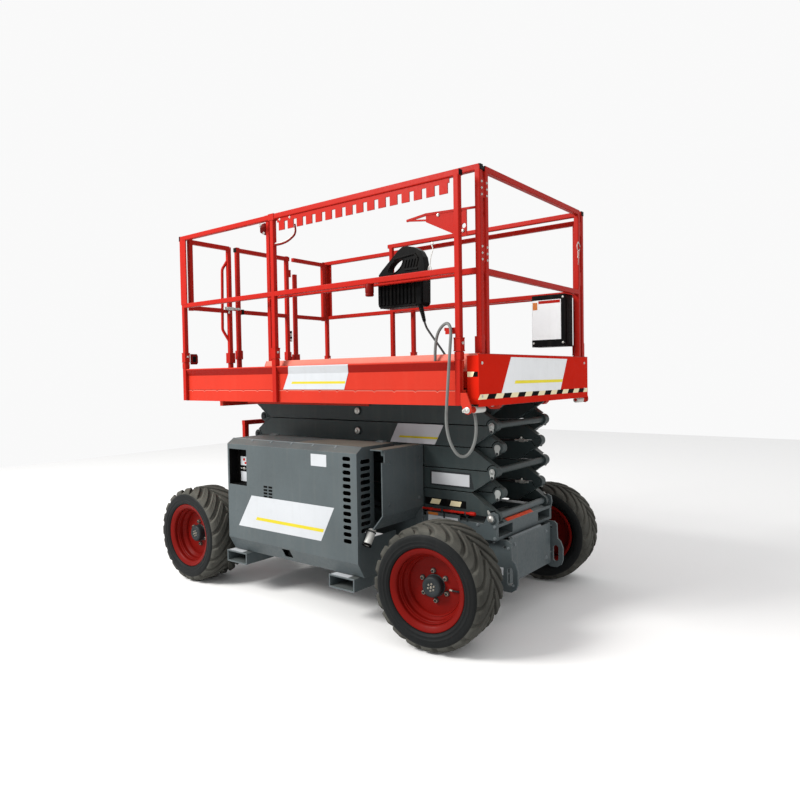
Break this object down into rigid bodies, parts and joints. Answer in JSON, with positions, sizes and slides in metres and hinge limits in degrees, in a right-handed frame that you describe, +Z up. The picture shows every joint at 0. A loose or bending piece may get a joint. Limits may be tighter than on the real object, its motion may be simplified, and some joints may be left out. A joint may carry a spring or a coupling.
{
  "type": "rough-terrain scissor lift",
  "caption": "Self-propelled scissor lift with a railed platform, a roll-out deck extension, stacked scissor arms, swing-out side trays and large treaded tyres.",
  "frame": {"origin": "on the ground, under the middle of the machine's outline", "axes": "+X towards the roll-out extension and the steered axle, +Y to the machine's left, +Z up"},
  "size_m": [2.7363, 1.8134, 2.517],
  "materials": {
    "rubber_tyre": "dusty black rubber",
    "rim_red": "satin red enamel",
    "chassis_grey": "satin slate grey paint",
    "arm_grey": "satin dark grey paint",
    "platform_red": "gloss vermilion paint",
    "cast_dark": "dark painted casting",
    "rod_chrome": "hard chrome",
    "black_plastic": "matt black moulding",
    "cable_rubber": "grey cable jacket",
    "cord_black": "black cable jacket",
    "galvanised": "galvanised step and tube"
  },
  "bodies": {
    "chassis": {"chassis_frame": "chassis_grey", "front_crossmember": "chassis_grey", "axle_guard": "chassis_grey", "front_axle": "cast_dark", "rear_axle": "cast_dark", "fork_pockets": "chassis_grey", "mudguard_right": "chassis_grey", "mudguard_left": "chassis_grey", "rear_ladder": "platform_red", "safety_prop": "platform_red"},
    "tray_right_body": {"cover_right": "chassis_grey", "tray_right": "chassis_grey", "engine_block": "cast_dark", "exhaust_pipe": "galvanised"},
    "tray_left_body": {"cover_left": "chassis_grey", "tray_left": "chassis_grey", "hydraulic_tank": "arm_grey"},
    "knuckle_right_body": {"knuckle_right": "cast_dark"},
    "knuckle_left_body": {"knuckle_left": "cast_dark"},
    "steering_rod_body": {"steering_rod": "rod_chrome"},
    "wheel_front_right": {"rim_front_right": "rim_red", "tyre_front_right": "rubber_tyre"},
    "wheel_front_left": {"rim_front_left": "rim_red", "tyre_front_left": "rubber_tyre"},
    "wheel_rear_right": {"rim_rear_right": "rim_red", "tyre_rear_right": "rubber_tyre"},
    "wheel_rear_left": {"rim_rear_left": "rim_red", "tyre_rear_left": "rubber_tyre"},
    "outer_1": {"outer_arm_1": "arm_grey"},
    "inner_1": {"inner_arm_1": "arm_grey"},
    "outer_2": {"outer_arm_2": "arm_grey"},
    "inner_2": {"inner_arm_2": "arm_grey"},
    "outer_3": {"outer_arm_3": "arm_grey"},
    "inner_3": {"inner_arm_3": "arm_grey"},
    "outer_4": {"outer_arm_4": "arm_grey"},
    "inner_4": {"inner_arm_4": "arm_grey"},
    "outer_5": {"outer_arm_5": "arm_grey"},
    "inner_5": {"inner_arm_5": "arm_grey"},
    "barrel_lower": {"cylinder_lower": "arm_grey"},
    "piston_lower": {"rod_lower": "rod_chrome"},
    "barrel_upper": {"cylinder_upper": "arm_grey"},
    "piston_upper": {"rod_upper": "rod_chrome"},
    "platform": {"deck": "platform_red", "rail_right": "platform_red", "rail_left": "platform_red", "latch_rack": "platform_red", "rail_rear": "platform_red", "deck_cable": "cable_rubber", "cable_glands": "black_plastic"},
    "gate_body": {"gate": "platform_red"},
    "extension": {"extension_deck": "platform_red", "extension_rails": "platform_red", "extension_handle": "platform_red", "control_box": "black_plastic", "document_box": "black_plastic", "control_cable": "cord_black", "control_glands": "black_plastic"}
  },
  "joints": [
    {"name": "lift", "type": "hinge", "parent": "chassis", "child": "outer_1", "pos_m": [1.165, 0, 0.625], "axis": [0, 1, 0], "range_deg": [0, 56.5]},
    {"name": "outer_pivot_2", "type": "hinge", "parent": "outer_1", "child": "outer_2", "pos_m": [-0.86478, 0, 0.756], "axis": [0, 1, 0], "range_deg": [-113, 0]},
    {"name": "outer_pivot_3", "type": "hinge", "parent": "outer_2", "child": "outer_3", "pos_m": [1.165, 0, 0.887], "axis": [0, 1, 0], "range_deg": [0, 113]},
    {"name": "outer_pivot_4", "type": "hinge", "parent": "outer_3", "child": "outer_4", "pos_m": [-0.86478, 0, 1.018], "axis": [0, 1, 0], "range_deg": [-113, 0]},
    {"name": "outer_pivot_5", "type": "hinge", "parent": "outer_4", "child": "outer_5", "pos_m": [1.165, 0, 1.149], "axis": [0, 1, 0], "range_deg": [0, 113]},
    {"name": "centre_pivot_1", "type": "hinge", "parent": "outer_1", "child": "inner_1", "pos_m": [0.15011, 0, 0.6905], "axis": [0, 1, 0], "range_deg": [-113, 0]},
    {"name": "centre_pivot_2", "type": "hinge", "parent": "outer_2", "child": "inner_2", "pos_m": [0.15011, 0, 0.8215], "axis": [0, 1, 0], "range_deg": [0, 113]},
    {"name": "centre_pivot_3", "type": "hinge", "parent": "outer_3", "child": "inner_3", "pos_m": [0.15011, 0, 0.9525], "axis": [0, 1, 0], "range_deg": [-113, 0]},
    {"name": "centre_pivot_4", "type": "hinge", "parent": "outer_4", "child": "inner_4", "pos_m": [0.15011, 0, 1.0835], "axis": [0, 1, 0], "range_deg": [0, 113]},
    {"name": "centre_pivot_5", "type": "hinge", "parent": "outer_5", "child": "inner_5", "pos_m": [0.15011, 0, 1.2145], "axis": [0, 1, 0], "range_deg": [-113, 0]},
    {"name": "platform_pivot", "type": "hinge", "parent": "inner_5", "child": "platform", "pos_m": [1.165, 0, 1.28], "axis": [0, 1, 0], "range_deg": [0, 56.5]},
    {"name": "cylinder_pivot_lower", "type": "hinge", "parent": "inner_1", "child": "barrel_lower", "pos_m": [-0.335, 0, 0.66939], "axis": [0, 1, 0], "range_deg": [-13.87, 0]},
    {"name": "cylinder_stroke_lower", "type": "slide", "parent": "barrel_lower", "child": "piston_lower", "axis": [0.995, 0, 0.1], "range_m": [0, 0.518]},
    {"name": "cylinder_pivot_upper", "type": "hinge", "parent": "inner_3", "child": "barrel_upper", "pos_m": [-0.335, 0, 0.93139], "axis": [0, 1, 0], "range_deg": [-13.87, 0]},
    {"name": "cylinder_stroke_upper", "type": "slide", "parent": "barrel_upper", "child": "piston_upper", "axis": [0.995, 0, 0.1], "range_m": [0, 0.518]},
    {"name": "extension_slide", "type": "slide", "parent": "platform", "child": "extension", "axis": [1, 0, 0], "range_m": [0, 1.52]},
    {"name": "gate_hinge", "type": "hinge", "parent": "platform", "child": "gate_body", "pos_m": [-1.168, 0.292, 1.9], "axis": [0, 0, 1], "range_deg": [0, 90]},
    {"name": "tray_right_hinge", "type": "hinge", "parent": "chassis", "child": "tray_right_body", "pos_m": [-0.56, -0.74, 0.6], "axis": [0, 0, -1], "range_deg": [0, 80]},
    {"name": "tray_left_hinge", "type": "hinge", "parent": "chassis", "child": "tray_left_body", "pos_m": [-0.56, 0.74, 0.6], "axis": [0, 0, 1], "range_deg": [0, 80]},
    {"name": "steer_right", "type": "hinge", "parent": "chassis", "child": "knuckle_right_body", "pos_m": [1.02, -0.5, 0.33], "axis": [0, 0, 1], "range_deg": [-35, 21]},
    {"name": "steer_left", "type": "hinge", "parent": "chassis", "child": "knuckle_left_body", "pos_m": [1.02, 0.5, 0.33], "axis": [0, 0, 1], "range_deg": [-35, 21]},
    {"name": "steer_rod", "type": "slide", "parent": "chassis", "child": "steering_rod_body", "axis": [0, 1, 0], "range_m": [-0.047, 0.077]},
    {"name": "spin_front_right", "type": "hinge", "parent": "knuckle_right_body", "child": "wheel_front_right", "pos_m": [1.04742, -0.72332, 0.33], "axis": [-0.1219, 0.9925, 0], "continuous": true},
    {"name": "spin_front_left", "type": "hinge", "parent": "knuckle_left_body", "child": "wheel_front_left", "pos_m": [0.99258, 0.72332, 0.33], "axis": [-0.1219, 0.9925, 0], "continuous": true},
    {"name": "spin_rear_right", "type": "hinge", "parent": "chassis", "child": "wheel_rear_right", "pos_m": [-1.02, -0.725, 0.33], "axis": [0, 1, 0], "continuous": true},
    {"name": "spin_rear_left", "type": "hinge", "parent": "chassis", "child": "wheel_rear_left", "pos_m": [-1.02, 0.725, 0.33], "axis": [0, 1, 0], "continuous": true}
  ],
  "couplings": [
    {"joint": "outer_pivot_2", "follows": "lift", "ratio": -2},
    {"joint": "outer_pivot_3", "follows": "lift", "ratio": 2},
    {"joint": "outer_pivot_4", "follows": "lift", "ratio": -2},
    {"joint": "outer_pivot_5", "follows": "lift", "ratio": 2},
    {"joint": "centre_pivot_1", "follows": "lift", "ratio": -2},
    {"joint": "centre_pivot_2", "follows": "lift", "ratio": 2},
    {"joint": "centre_pivot_3", "follows": "lift", "ratio": -2},
    {"joint": "centre_pivot_4", "follows": "lift", "ratio": 2},
    {"joint": "centre_pivot_5", "follows": "lift", "ratio": -2},
    {"joint": "platform_pivot", "follows": "lift", "ratio": 1},
    {"joint": "cylinder_pivot_lower", "follows": "lift", "ratio": -0.24061},
    {"joint": "cylinder_stroke_lower", "follows": "lift", "m_per_rad": 0.5148},
    {"joint": "cylinder_pivot_upper", "follows": "lift", "ratio": -0.24061},
    {"joint": "cylinder_stroke_upper", "follows": "lift", "m_per_rad": 0.5148},
    {"joint": "steer_left", "follows": "steer_right", "ratio": 1},
    {"joint": "steer_rod", "follows": "steer_right", "m_per_rad": -0.12}
  ]
}
